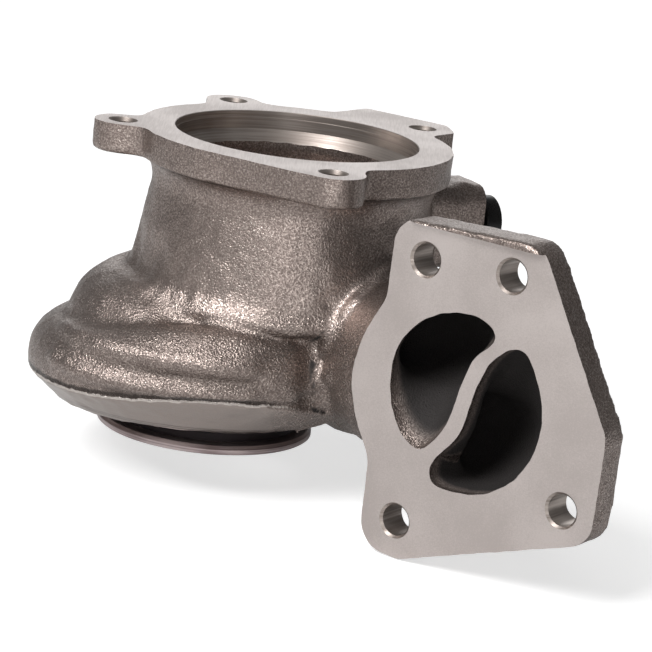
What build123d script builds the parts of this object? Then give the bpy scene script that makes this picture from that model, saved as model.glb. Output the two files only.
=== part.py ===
"""Twin-scroll turbine housing of a small petrol turbocharger, with its internal wastegate.

Frame: the turbine axis is Z, z = 0 is the lower face of the clamp lip, the outlet flange is on
top, +X points to the inlet side and -Y to the front.  All lengths are in millimetres.
"""
import math
import os

from build123d import *

# clamp lip (bearing-housing side)
LIP_R = 32.5
LIP_T = 2.4
GROOVE_R = 28.8
BAND_Z = 7.0            # top of the clamp groove
SPIGOT_R = 26.0         # pilot bore for the bearing housing
SPIGOT_DEPTH = 9.0

# turbine wheel room
WHEEL_TIP_R = 24.0
EXDUCER_R = 21.0

# outlet flange and neck, both about the outlet centre
OUTLET_X, OUTLET_Y = 18.5, 8.0
OUTLET_Z = 89.5
OUTLET_T = 9.0
OUTLET_BORE_R = 36.5
OUTLET_BORE_DEPTH = 8.5
FLANGE_R = 46.8
STUD_D = 6.8            # M8 core hole
STUD_DEPTH = 14.0
STUD_PCD = 104.0
STUD_ANGLES = [187.2, 114.9, -76.5, 43.5]
OUTLET_STUDS = [(STUD_PCD / 2 * math.cos(math.radians(a)), STUD_PCD / 2 * math.sin(math.radians(a)))
                for a in STUD_ANGLES]
NECK_R = 41.6
NECK_FOOT_R = 46.0
CHAMBER_FLOOR_Z = 54.0
CHAMBER_R = 38.0

# inlet flange: plane turned about Z, local x runs along the flange, local y is up
INLET_TURN = -35.0
INLET_X, INLET_Y = 77.0, -75.0
INLET_T = 10.0
INLET_PORT_X, INLET_PORT_Z, INLET_PORT_R = -4.5, 35.0, 25.3
INLET_WEB = 4.4
PORT_CORNER_R = 3.0
INLET_HOLE_D = 9.0
INLET_HOLES = [(-22.4, 72.0), (5.9, 73.8), (-22.2, -3.9), (30.8, 14.0)]
DUCT_WALL = 5.0

# wastegate
PIVOT_TURN = 30.0       # direction of the spindle, seen from above
PIVOT_Z = 64.0
PIVOT_X, PIVOT_Y = 31.5, 10.5
ARM_REACH = 19.0
SPINDLE_R = 4.0
BUSH_R = 6.5
SEAT_Z = 56.5
FLAP_R = 10.0
FLAP_T = 3.4
FLAP_CLEAR = 1.0        # air round the flap as it swings
FLAP_OPEN = 35.0        # travel of the flap in degrees


def patch(*points):
    """Polygon face that always faces up, whichever way round its corners are given."""
    area = sum(x0 * y1 - x1 * y0 for (x0, y0), (x1, y1) in zip(points, points[1:] + points[:1]))
    return Polygon(*(points if area > 0 else points[::-1]), align=None)


def at_angle(table, angle):
    """Value triple of a short table (angle, radius, height, size) read at one angle."""
    for (a0, *v0), (a1, *v1) in zip(table, table[1:]):
        if angle <= a1:
            t = (angle - a0) / (a1 - a0)
            return [p + (q - p) * t for p, q in zip(v0, v1)]
    return table[-1][1:]


def scroll(table, step=35.0):
    """Tube of changing radius around the turbine axis, lofted through circles."""
    first, last = table[0][0], table[-1][0]
    count = round((last - first) / step)
    faces = []
    for i in range(count + 1):
        angle = first + (last - first) * i / count
        radius, height, size = at_angle(table, angle)
        turn = math.radians(angle)
        plane = Plane(
            origin=(radius * math.cos(turn), radius * math.sin(turn), height),
            x_dir=(math.cos(turn), math.sin(turn), 0),
            z_dir=(-math.sin(turn), math.cos(turn), 0),
        )
        faces.append(plane * Circle(size))
    return loft(faces)


def banded_scroll(table, inner_r, step=29.0):
    """Scroll skin with a round bulge above its parting line and a straight band below it.

    The cast lip of the parting line stands out a little between the two.
    """
    first, last = table[0][0], table[-1][0]
    count = round((last - first) / step)
    faces = []
    for i in range(count + 1):
        angle = first + (last - first) * i / count
        radius, height, size, parting, lip, foot_r, foot_z = at_angle(table, angle)
        turn = math.radians(angle)
        plane = Plane(origin=(0, 0, 0), x_dir=(math.cos(turn), math.sin(turn), 0),
                      z_dir=(math.sin(turn), -math.cos(turn), 0))
        top, side, split = [(radius + size * math.cos(math.radians(a)),
                             height + size * math.sin(math.radians(a)))
                            for a in (120, 120 + (parting - 120) / 2, parting)]
        arc = ThreePointArc(top, side, split)
        rest = Polyline(split, (split[0] + lip, split[1] - 0.3 * lip), (foot_r, foot_z),
                        (inner_r, BAND_Z + 2), (inner_r, height + 2), top)
        faces.append(plane * make_face(Wire([*arc.edges(), *rest.edges()])))
    return loft(faces)


def ring_section(origin, heading, points):
    """Closed spline face through local points (right, up) on a plane square to a heading."""
    turn = math.radians(heading)
    plane = Plane(origin=origin, x_dir=(math.sin(turn), -math.cos(turn), 0),
                  z_dir=(-math.cos(turn), -math.sin(turn), 0))
    world = [plane.from_local_coords(Vector(x, y, 0)) for x, y in points]
    return Face(Wire([Edge.make_spline(world, periodic=True)]))


def oval(half_x, half_y, turn=0.0, count=16):
    """Points round an oval, starting at its left end and going up."""
    c, s = math.cos(math.radians(turn)), math.sin(math.radians(turn))
    out = []
    for i in range(count):
        a = math.pi - 2 * math.pi * i / count
        x, y = half_x * math.cos(a), half_y * math.sin(a)
        out.append((x * c - y * s, x * s + y * c))
    return out


def turned_profile(points):
    """Solid of revolution about Z from a closed (radius, height) polygon."""
    return revolve(Plane.XZ * patch(*points), Axis.Z)


# skin of the lower scroll: angle, centre radius, centre height and radius of the round bulge,
# angle on the bulge where the parting line runs, lip of the parting line, foot radius and height
LOWER_SKIN = [(-12, 47.5, 19.0, 15.4, -15, 0.3, 48.0, 4.2),
              (90, 45.0, 18.6, 13.9, -10, 0.3, 46.5, 4.8),
              (180, 42.8, 17.3, 12.2, -14, 0.4, 45.5, 4.8),
              (225, 40.6, 22.8, 12.0, -36, 1.2, 40.0, 6.4),
              (270, 38.4, 29.6, 11.4, -54, 1.9, 35.2, 7.6),
              (300, 38.0, 28.4, 11.2, -54, 1.9, 35.2, 7.6),
              (342, 39.0, 21.0, 11.8, -46, 0.6, 37.0, 7.6)]
# skin of the upper scroll and the two gas passages: angle, centre radius, height, tube radius
UPPER_SKIN = [(-7, 37.0, 40.0, 12.6), (90, 32.5, 34.0, 14.2), (180, 27.6, 29.0, 17.0),
              (225, 26.5, 29.0, 15.4), (270, 26.0, 29.0, 13.5), (301, 26.0, 30.0, 12.0)]
LOWER_GAS = [(-12, 45.0, 18.5, 10.8), (90, 43.2, 18.4, 9.6), (180, 41.2, 18.2, 8.4),
             (270, 35.6, 21.8, 5.8), (300, 35.0, 21.0, 4.8)]
UPPER_GAS = [(-12, 36.0, 40.2, 8.2), (90, 33.5, 36.2, 7.7), (180, 31.0, 33.6, 7.0),
             (270, 30.0, 33.5, 5.4), (300, 29.7, 33.3, 4.4)]

inlet_turn = math.radians(INLET_TURN)
INLET_PLANE = Plane(
    origin=(INLET_X, INLET_Y, 0),
    x_dir=(math.cos(inlet_turn), math.sin(inlet_turn), 0),
    z_dir=(math.sin(inlet_turn), -math.cos(inlet_turn), 0),
)
PORT_CENTRE = INLET_PLANE.from_local_coords(Vector(INLET_PORT_X, INLET_PORT_Z, 0))


def outlet_flange():
    """Outlet flange outline: a disc with three stud ears and one squared ear."""
    outline = Circle(FLANGE_R)
    (lx, ly), (bx, by), (fx, fy), _ = OUTLET_STUDS
    outline += Pos(lx, ly) * Circle(8.5) + Pos(lx / 2, ly) * Rectangle(abs(lx), 17)
    outline += Pos(bx, by) * Circle(8.6)
    outline += patch((bx - 8.4, by), (bx - 7, 20), (0, 20), (bx + 12, by))
    outline += Pos(fx, fy) * Circle(9.4)
    outline += patch((fx - 9, fy - 6), (-28, -38), (0, -20), (fx + 9, -20), (fx + 9, fy))
    outline += patch((11, 48), (20, 60), (45.5, 45), (47.6, 33), (42, 26), (20, 20))
    outline = offset(offset(outline, amount=3), amount=-3)
    body = extrude(Pos(OUTLET_X, OUTLET_Y, OUTLET_Z - OUTLET_T) * outline, OUTLET_T)
    return body


def inlet_flange():
    """Inlet flange outline: a slanted plate with a round bulge over the twin port."""
    (ux, uz), (rx, rz), (lx, lz), (cx, cz) = INLET_HOLES
    plate = patch((ux - 11.2, uz + 10.4), (rx + 8.5, rz + 10.8), (41.6, 37), (41, cz - 7),
                  (lx + 2, lz - 11), (lx - 11.3, lz - 10))
    plate = offset(offset(plate, amount=-8.5), amount=8.5)
    bulge = Pos(INLET_PORT_X, INLET_PORT_Z) * Circle(INLET_PORT_R + 11.6)
    outline = plate + bulge
    outline = offset(offset(outline, amount=6), amount=-6)
    return extrude(INLET_PLANE * outline, -INLET_T)


def port_face(side):
    """One half of the round inlet, cut off by the S-shaped dividing wall.

    side is -1 for the upper left half and +1 for the lower right half.
    """
    def wall(t):
        """Point of the dividing wall at height t, as a share of the port radius."""
        across = INLET_PORT_R * (0.20 * t + 0.64 * t ** 3) + side * INLET_WEB / 2
        return across, INLET_PORT_R * t

    edge = [wall(t) for t in (-1.07, -0.79, -0.47, -0.16, 0.16, 0.47, 0.79, 1.07)]
    line = Spline(*edge)
    far = side * 1.6 * INLET_PORT_R
    rest = Polyline(edge[-1], (far, edge[-1][1]), (far, edge[0][1]), edge[0])
    half = make_face(Wire([*line.edges(), *rest.edges()]))
    face = (Circle(INLET_PORT_R) & half).faces()[0]
    return face.fillet_2d(PORT_CORNER_R, face.vertices())


def port_points(side, count=16):
    """Points spaced evenly round one port half, starting at its left end and going up."""
    wire = port_face(side).outer_wire()
    mid = port_face(side).center()
    spots = [wire.position_at(i / 240) - mid for i in range(240)]
    start = max(range(240), key=lambda i: abs(math.atan2(spots[i].Y, spots[i].X)))
    points = [wire.position_at((start / 240 + i / count) % 1.0) for i in range(count)]
    if points[2].Y < points[-2].Y:
        points = points[:1] + points[:0:-1]
    return [(p.X, p.Y) for p in points]


def gas_passage(side, table):
    """Passage from one inlet port to the start of its scroll."""
    shape = [(INLET_PORT_X + x, INLET_PORT_Z + y) for x, y in port_points(side)]
    faces = []
    for depth in (1.0,) if side < 0 else (1.0, -6.0):
        world = [INLET_PLANE.from_local_coords(Vector(x, y, depth)) for x, y in shape]
        faces.append(Face(Wire([Edge.make_spline(world, periodic=True)])))
    if side < 0:
        faces.append(ring_section((63.5, -40.0, 46.0), 105, oval(13.0, 10.0, 30)))
        faces.append(ring_section((48.0, -21.0, 42.5), 120, oval(9.2, 9.2)))
    else:
        faces.append(ring_section((77.5, -48.0, 21.5), 96, oval(14.5, 10.5, 30)))
        faces.append(ring_section((58.0, -22.0, 20.0), 100, oval(12.5, 11.5)))
    angle = table[0][0] + 4
    radius, height, size = at_angle(table, angle)
    turn = math.radians(angle)
    end = (radius * math.cos(turn), radius * math.sin(turn), height)
    faces.append(ring_section(end, angle + 90, oval(size - 0.3, size - 0.3)))
    return loft(faces)


def duct_skin():
    """Outside of the inlet duct, from the flange to the start of the scrolls."""
    heading = 90 + INLET_TURN
    r = INLET_PORT_R + DUCT_WALL
    back = INLET_PLANE.from_local_coords(Vector(INLET_PORT_X, INLET_PORT_Z, -4))
    faces = [
        ring_section(back, heading, oval(r, r)),
        ring_section((70.5, -47.0, 34.0), 92, oval(r - 0.5, r - 2.0)),
        ring_section((55.0, -24.0, 32.0), 94, oval(24.0, 25.2)),
        ring_section((43.5, -6.0, 28.5), 82, oval(20.0, 25.0)),
    ]
    return loft(faces)


def pivot_point(along, sideways=0.0, height=0.0):
    """Point on the wastegate axis, with an offset square to it."""
    a = math.radians(PIVOT_TURN)
    return Vector(PIVOT_X + along * math.cos(a) + sideways * math.sin(a),
                  PIVOT_Y + along * math.sin(a) - sideways * math.cos(a), PIVOT_Z + height)


PIVOT_DIR = (math.cos(math.radians(PIVOT_TURN)), math.sin(math.radians(PIVOT_TURN)), 0)


def rod(start, length, radius):
    """Cylinder along the wastegate axis."""
    plane = Plane(origin=pivot_point(start), z_dir=PIVOT_DIR)
    return extrude(plane * Circle(radius), length)


BLOCK_END = 47.0        # distance of the boss end face along the spindle
BUSH_START = 20.5       # inner end of the bush, flush with the chamber wall
BUSH_STICK = 3.0        # length of bush that shows outside the boss
BUSH_END = BLOCK_END + BUSH_STICK
LEVER_T = 5.0
LEVER_GAP = 0.6
LEVER_LENGTH = 28.0
LEVER_EYE_R = 8.0
PIN_R = 3.0
FIT = 0.05              # running clearance on the radius
flap_centre = pivot_point(0, ARM_REACH)


def boss():
    """Cast boss that carries the spindle bush on the back right of the neck."""
    plane = Plane(origin=pivot_point(BLOCK_END), x_dir=(0, 0, 1), z_dir=PIVOT_DIR)
    return extrude(plane * RectangleRounded(26, 22, 5), -34)


def flap_pocket():
    """Recess of the chamber wall that the edge of the flap swings through."""
    near = ARM_REACH - FLAP_R - FLAP_CLEAR
    far = math.hypot(ARM_REACH + FLAP_R, PIVOT_Z - SEAT_Z) + FLAP_CLEAR
    middle = pivot_point(0, (near + far) / 2)
    top = PIVOT_Z + (ARM_REACH + FLAP_R) * math.sin(math.radians(FLAP_OPEN))
    return Pos(middle.X, middle.Y, SEAT_Z) * Cylinder(
        (far - near) / 2, top - SEAT_Z, align=(Align.CENTER, Align.CENTER, Align.MIN))


def housing():
    """The whole casting with its machined faces, bores and threads."""
    body = banded_scroll(LOWER_SKIN, GROOVE_R - 1) + scroll(UPPER_SKIN)
    body += turned_profile([(0, BAND_Z), (34, BAND_Z), (38, 11), (36, 28), (30, 46), (0, 46)])
    neck = turned_profile([(0, 26), (NECK_FOOT_R - 4, 26), (NECK_FOOT_R - 2.5, 38.5),
                           (NECK_FOOT_R + 1.2, 40.6), (NECK_FOOT_R + 2, 42.4),
                           (NECK_FOOT_R + 1.2, 44.2), (NECK_FOOT_R, 47.5), (NECK_R, 74), (NECK_R + 1.2, 78.5), (NECK_R + 4, OUTLET_Z - OUTLET_T),
                           (0, OUTLET_Z - OUTLET_T)])
    body += Pos(OUTLET_X, OUTLET_Y) * neck
    body += outlet_flange()
    body += duct_skin()
    body += inlet_flange()
    body += boss()
    body += turned_profile([(0, 0), (LIP_R, 0), (LIP_R, LIP_T - 0.6), (LIP_R - 1.5, LIP_T),
                            (GROOVE_R, LIP_T + 0.8), (GROOVE_R, BAND_Z + 1), (0, BAND_Z + 1)])

    # gas side
    chamber = turned_profile([(0, CHAMBER_FLOOR_Z), (CHAMBER_R - 3, CHAMBER_FLOOR_Z),
                              (CHAMBER_R, CHAMBER_FLOOR_Z + 3), (OUTLET_BORE_R - 1.5, 78.5),
                              (OUTLET_BORE_R - 1.5, OUTLET_Z - OUTLET_BORE_DEPTH),
                              (OUTLET_BORE_R, OUTLET_Z - OUTLET_BORE_DEPTH),
                              (OUTLET_BORE_R, OUTLET_Z + 1), (0, OUTLET_Z + 1)])
    body -= Pos(OUTLET_X, OUTLET_Y) * chamber
    seat = Pos(flap_centre.X, flap_centre.Y, CHAMBER_FLOOR_Z - 2) * Cylinder(
        FLAP_R + 1.2, SEAT_Z - CHAMBER_FLOOR_Z + 2, align=(Align.CENTER, Align.CENTER, Align.MIN))
    body += seat
    body -= flap_pocket()
    body -= turned_profile([(0, -1), (SPIGOT_R, -1), (SPIGOT_R, SPIGOT_DEPTH),
                            (WHEEL_TIP_R, SPIGOT_DEPTH), (WHEEL_TIP_R, 23.5), (EXDUCER_R, 34),
                            (EXDUCER_R, 50), (EXDUCER_R + 2, 56), (0, 56)])
    for table in (LOWER_GAS, UPPER_GAS):
        body -= scroll(table)
    body -= gas_passage(-1, UPPER_GAS)
    body -= gas_passage(1, LOWER_GAS)
    body -= turned_profile([(23, 14.2), (34.6, 14.2), (34.6, 18), (23, 18)])
    body -= turned_profile([(23, 19.5), (24.2, 20), (31.5, 31.5), (27.6, 31.5), (23.8, 23.6),
                            (23, 23.6)])

    # wastegate ports under the flap
    reach = math.hypot(flap_centre.X, flap_centre.Y)
    ux, uy = flap_centre.X / reach, flap_centre.Y / reach
    inner = Plane(origin=((reach - 5.2) * ux, (reach - 5.2) * uy, 40.0), z_dir=(0, 0, 1))
    body -= extrude(inner * Circle(3.7), 20)
    outer = Plane(origin=((reach + 10.0) * ux, (reach + 10.0) * uy, 21.0),
                  z_dir=(-5.0 * ux, -5.0 * uy, 35.5))
    body -= extrude(outer * Circle(3.4), 37)

    # threads, stud holes and the bush bore
    for x, y in OUTLET_STUDS:
        top = Pos(OUTLET_X + x, OUTLET_Y + y, OUTLET_Z)
        body -= top * Cylinder(STUD_D / 2, 2 * STUD_DEPTH)
        body -= top * Cone(STUD_D / 2 - 0.9, STUD_D / 2 + 0.9, 1.8)
    for x, z in INLET_HOLES:
        plane = INLET_PLANE * Pos(x, z, 0)
        body -= plane * Cylinder(INLET_HOLE_D / 2, 3 * INLET_T)
        body -= plane * Cone(INLET_HOLE_D / 2 - 0.8, INLET_HOLE_D / 2 + 0.8, 1.6)
    body -= rod(0, BLOCK_END + 5, BUSH_R)
    return body


def wastegate_bush():
    """Press-fitted bearing bush of the spindle."""
    length = BUSH_END - BUSH_START
    return rod(BUSH_START, length, BUSH_R) - rod(BUSH_START - 1, length + 2, SPINDLE_R + FIT)


def wastegate_spindle():
    """Spindle with the arm that carries the flap at its inner end."""
    plane = Plane(origin=pivot_point(0, 0, -3), x_dir=PIVOT_DIR, z_dir=(0, 0, 1))
    outline = Pos(2, 0) * RectangleRounded(14, 9, 3)
    outline += Pos(0, -ARM_REACH) * Circle(6.5)
    outline += patch((-4.5, 0), (7.5, 0), (5.6, -ARM_REACH), (-5.6, -ARM_REACH))
    arm = extrude(plane * outline, 5)
    body = rod(-3.5, BUSH_END + LEVER_GAP + LEVER_T + 4.5, SPINDLE_R) + arm
    return body - Pos(flap_centre.X, flap_centre.Y, PIVOT_Z) * Cylinder(2.8 + FIT, 20)


def wastegate_flap():
    """Flap disc with its hub and riveted stud."""
    low = SEAT_Z + FIT
    arm_low, arm_top = PIVOT_Z - 3, PIVOT_Z + 2
    profile = [(0, low), (FLAP_R - 0.6, low), (FLAP_R, low + 0.6), (FLAP_R, low + FLAP_T - 0.8),
               (FLAP_R - 1.2, low + FLAP_T), (5.5, low + FLAP_T), (5.5, arm_low), (2.8, arm_low),
               (2.8, arm_top + 1.6), (4.0, arm_top + 1.6), (3.4, arm_top + 2.8),
               (0, arm_top + 2.8)]
    return Pos(flap_centre.X, flap_centre.Y) * turned_profile(profile)


def flap_washer():
    """Washer between the arm and the riveted head of the flap stud."""
    at = Pos(flap_centre.X, flap_centre.Y, PIVOT_Z + 2)
    base = (Align.CENTER, Align.CENTER, Align.MIN)
    return at * (Cylinder(5.2, 1.6, align=base) - Cylinder(2.8 + FIT, 4))


def lever_plane(along):
    """Plane square to the spindle: local x points up, local y to the front."""
    return Plane(origin=pivot_point(along), x_dir=(0, 0, 1), z_dir=PIVOT_DIR)


def wastegate_lever():
    """Outer lever: an eye on the spindle end and an arm that hangs down to the rod pin."""
    outline = Circle(LEVER_EYE_R) + Pos(-LEVER_LENGTH, 0) * Circle(5.6)
    outline += patch((0, LEVER_EYE_R), (0, -LEVER_EYE_R), (-LEVER_LENGTH, -5.6),
                     (-LEVER_LENGTH, 5.6))
    outline -= Circle(SPINDLE_R) + Pos(-LEVER_LENGTH, 0) * Circle(PIN_R)
    return extrude(lever_plane(BUSH_END + LEVER_GAP) * outline, LEVER_T)


def lever_pin():
    """Riveted pin for the actuator rod, with a collar and a clip groove."""
    start = BUSH_END + LEVER_GAP
    plane = lever_plane(start) * Pos(-LEVER_LENGTH, 0, 0)
    body = extrude(plane * Circle(PIN_R), LEVER_T + 10)
    body += extrude(plane * Circle(4.4), -1.2)
    body += extrude(plane * Pos(0, 0, LEVER_T) * Circle(4.2), 1.2)
    groove = plane * Pos(0, 0, LEVER_T + 7.6) * (Circle(PIN_R + 1) - Circle(PIN_R - 0.5))
    return body - extrude(groove, 1.0)


MAKERS = {
    "turbine_housing": housing,
    "wastegate_bush": wastegate_bush,
    "wastegate_spindle": wastegate_spindle,
    "wastegate_flap": wastegate_flap,
    "flap_washer": flap_washer,
    "wastegate_lever": wastegate_lever,
    "lever_pin": lever_pin,
}

if __name__ == "__main__":
    os.makedirs("parts", exist_ok=True)
    for name, maker in MAKERS.items():
        solid = maker()
        print(name, solid.is_valid, len(solid.solids()), round(solid.volume / 1000, 2), "cm3")
        export_step(solid, f"parts/{name}.step")
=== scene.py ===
"""Looks of a twin-scroll turbine housing with its wastegate fitted.

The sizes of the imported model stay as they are.  This file rounds the cast skin, gives every
piece its finish, and sets up the studio and the camera.  Lengths in the classes are
millimetres; meshes and object coordinates are metres, with +Z along the turbine axis.
"""

from __future__ import annotations

import logging
import math
from dataclasses import dataclass, field
from enum import Enum, IntEnum
from typing import Sequence

import bmesh  # noqa: E402
import bpy  # noqa: E402
import numpy as np  # noqa: E402
from bpy.types import Material, Mesh, Node, NodeSocket, NodeTree, Object  # noqa: E402
from mathutils import Matrix, Vector  # noqa: E402

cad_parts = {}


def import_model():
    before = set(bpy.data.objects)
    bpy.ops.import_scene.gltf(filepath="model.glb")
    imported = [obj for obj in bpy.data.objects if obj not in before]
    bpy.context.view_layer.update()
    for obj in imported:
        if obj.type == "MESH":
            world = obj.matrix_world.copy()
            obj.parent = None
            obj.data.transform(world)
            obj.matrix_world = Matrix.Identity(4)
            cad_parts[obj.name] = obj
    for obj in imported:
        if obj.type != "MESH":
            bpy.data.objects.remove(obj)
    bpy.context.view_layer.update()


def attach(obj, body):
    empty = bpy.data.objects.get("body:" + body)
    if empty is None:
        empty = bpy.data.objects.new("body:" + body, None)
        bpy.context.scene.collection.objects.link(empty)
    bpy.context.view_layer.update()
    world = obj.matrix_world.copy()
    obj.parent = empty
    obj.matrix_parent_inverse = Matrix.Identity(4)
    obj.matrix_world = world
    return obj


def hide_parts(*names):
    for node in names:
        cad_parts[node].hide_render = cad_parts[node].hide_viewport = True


log = logging.getLogger("turbine_housing")
MM = 0.001
Pair = tuple[float, float]
Triple = tuple[float, float, float]
Colour = tuple[float, float, float, float]


def srgb(red: int, green: int, blue: int) -> Colour:
    """Turn a screen colour into the linear colour that a shader socket takes.

    Args:
        red: Red, 0 to 255.
        green: Green, 0 to 255.
        blue: Blue, 0 to 255.

    Returns:
        Linear red, green, blue and an alpha of 1.
    """
    out = []
    for value in (red, green, blue):
        c = value / 255.0
        out.append(c / 12.92 if c <= 0.04045 else ((c + 0.055) / 1.055) ** 2.4)
    return (out[0], out[1], out[2], 1.0)


@dataclass
class Sheet:
    """A node tree with short methods for the nodes that the finishes use."""

    tree: NodeTree

    def node(self, kind: str, *inputs: object, **values: object) -> Node:
        """Add a node, set its properties and feed its first inputs.

        Args:
            kind: Node type name.
            *inputs: What the first input sockets take, in order.
            **values: Properties of the node.

        Returns:
            The new node.
        """
        made = self.tree.nodes.new(kind)
        for key, value in values.items():
            setattr(made, key, value)
        for socket, value in zip(made.inputs, inputs):
            self.feed(value, socket)
        return made

    def feed(self, value: object, socket: NodeSocket) -> None:
        """Link a socket to a socket, or write a plain value on it.

        Args:
            value: Output socket, number or tuple.
            socket: Input socket that takes it.
        """
        if isinstance(value, NodeSocket):
            self.tree.links.new(value, socket)
        else:
            socket.default_value = value

    def math(self, kind: str, *values: object) -> NodeSocket:
        """Result of a Math node of the given operation."""
        return self.node("ShaderNodeMath", *values, operation=kind).outputs[0]

    def product(self, first: object, second: object) -> NodeSocket:
        """Product of two numbers."""
        return self.math("MULTIPLY", first, second)

    def ramp(self, value: object, low: float, high: float, to_low: float = 0.0,
             to_high: float = 1.0) -> NodeSocket:
        """Value mapped smoothly from low and high to to_low and to_high, and held outside."""
        return self.node("ShaderNodeMapRange", value, low, high, to_low, to_high,
                         interpolation_type="SMOOTHSTEP").outputs[0]

    def noise(self, place: object, scale: float, octaves: float = 2.0) -> NodeSocket:
        """Noise from 0 to 1 at a place, with scale cells per metre."""
        return self.node("ShaderNodeTexNoise", place, 0.0, scale, octaves).outputs[0]

    def stretch(self, place: object, scale: Triple, turn: float = 0.0) -> NodeSocket:
        """Place scaled along x, y and z and turned about z by degrees."""
        return self.node("ShaderNodeMapping", place, (0.0, 0.0, 0.0),
                         (0.0, 0.0, math.radians(turn)), scale).outputs[0]

    def bump(self, height: object, depth: float) -> NodeSocket:
        """Shading normal of a height, of which one unit is depth metres."""
        made = self.node("ShaderNodeBump", 1.0, depth)
        self.feed(height, made.inputs["Height"])
        return made.outputs[0]

    def mix(self, share: object, first: object, second: object,
            colours: bool = False) -> NodeSocket:
        """Mix two numbers or two colours.

        Args:
            share: Share of the second one.
            first: First number or colour.
            second: Second number or colour.
            colours: Whether they are colours.

        Returns:
            The mixed one.
        """
        kind, at, out = ("RGBA", 6, 2) if colours else ("FLOAT", 2, 0)
        made = self.node("ShaderNodeMix", share, data_type=kind)
        self.feed(first, made.inputs[at])
        self.feed(second, made.inputs[at + 1])
        return made.outputs[out]

    def blend(self, share: object, first: object, second: object) -> NodeSocket:
        """Mix of two colours, with the share of the second."""
        return self.mix(share, first, second, colours=True)

    def group(self, tree: NodeTree, place: NodeSocket) -> bpy.types.NodeOutputs:
        """Outputs, by name, of a node group that takes a place."""
        made = self.node("ShaderNodeGroup", node_tree=tree)
        self.feed(place, made.inputs["Place"])
        return made.outputs

    def attribute(self, name: str) -> NodeSocket:
        """Number that the mesh holds under a name."""
        return self.node("ShaderNodeAttribute", attribute_name=name).outputs["Fac"]


def new_group(name: str, outputs: Sequence[str]) -> tuple[Sheet, NodeSocket, Node]:
    """Start a shader node group that takes a place and gives numbers.

    Args:
        name: Name of the group.
        outputs: Name of each output.

    Returns:
        The sheet, the place and the group output node.
    """
    tree = bpy.data.node_groups.new(name, "ShaderNodeTree")
    tree.interface.new_socket(name="Place", in_out="INPUT", socket_type="NodeSocketVector")
    for label in outputs:
        tree.interface.new_socket(name=label, in_out="OUTPUT", socket_type="NodeSocketFloat")
    sheet = Sheet(tree)
    return sheet, sheet.node("NodeGroupInput").outputs[0], sheet.node("NodeGroupOutput")


def new_material(name: str) -> tuple[Material, Sheet, Node, NodeSocket]:
    """Start a material with a Principled shader.

    Args:
        name: Name of the material.

    Returns:
        The material, its sheet, the shader node and the object coordinates.
    """
    material = bpy.data.materials.new(name)
    material.use_nodes = True
    sheet = Sheet(material.node_tree)
    shader = sheet.tree.nodes["Principled BSDF"]
    return material, sheet, shader, sheet.node("ShaderNodeTexCoord").outputs["Object"]


class Effect(Enum):
    """Surfaces that several finishes share, with the names of their groups."""

    GRAIN = "cast_grain"
    MILLED = "cutter_marks"
    TURNED = "lathe_marks"


@dataclass
class Effects:
    """Node groups of the shared surfaces, each built once."""

    made: dict[Effect, NodeTree] = field(default_factory=dict)

    def group(self, effect: Effect) -> NodeTree:
        """Group of an effect, built when a finish first asks for it.

        Args:
            effect: Which effect.

        Returns:
            The group, with outputs Shade (0 to 1), Height and, for the grain, Spark (0 to 1).
        """
        if effect in self.made:
            return self.made[effect]
        extra = ("Spark",) if effect is Effect.GRAIN else ()
        sheet, place, end = new_group(effect.value, ("Shade", "Height", *extra))
        if effect is Effect.GRAIN:
            # pits and bumps under half a millimetre, with fine grit between
            coarse, fine = sheet.noise(place, 1750.0, 1.0), sheet.noise(place, 3400.0, 1.0)
            height = sheet.math("ADD", sheet.product(coarse, 0.8), sheet.product(fine, 0.35))
            shade = sheet.ramp(height, 0.40, 0.76)
            spark = sheet.product(sheet.ramp(fine, 0.56, 0.70), sheet.ramp(coarse, 0.50, 0.66))
            sheet.feed(spark, end.inputs["Spark"])
        elif effect is Effect.MILLED:
            # noise drawn out along one direction
            height = sheet.noise(sheet.stretch(place, (1.0, 0.06, 1.0), 20.0), 2600.0)
            shade = sheet.mix(0.6, height, sheet.noise(place, 45.0, 3.0))
        else:
            # rings about an upright axis: noise that changes with height only
            height = sheet.noise(sheet.stretch(place, (0.02, 0.02, 1.0)), 1900.0, 3.0)
            cloud = sheet.noise(sheet.stretch(place, (1.0, 1.0, 0.1)), 60.0)
            shade = sheet.mix(0.45, height, cloud)
        sheet.feed(shade, end.inputs["Shade"])
        sheet.feed(height, end.inputs["Height"])
        self.made[effect] = sheet.tree
        return sheet.tree


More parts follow.
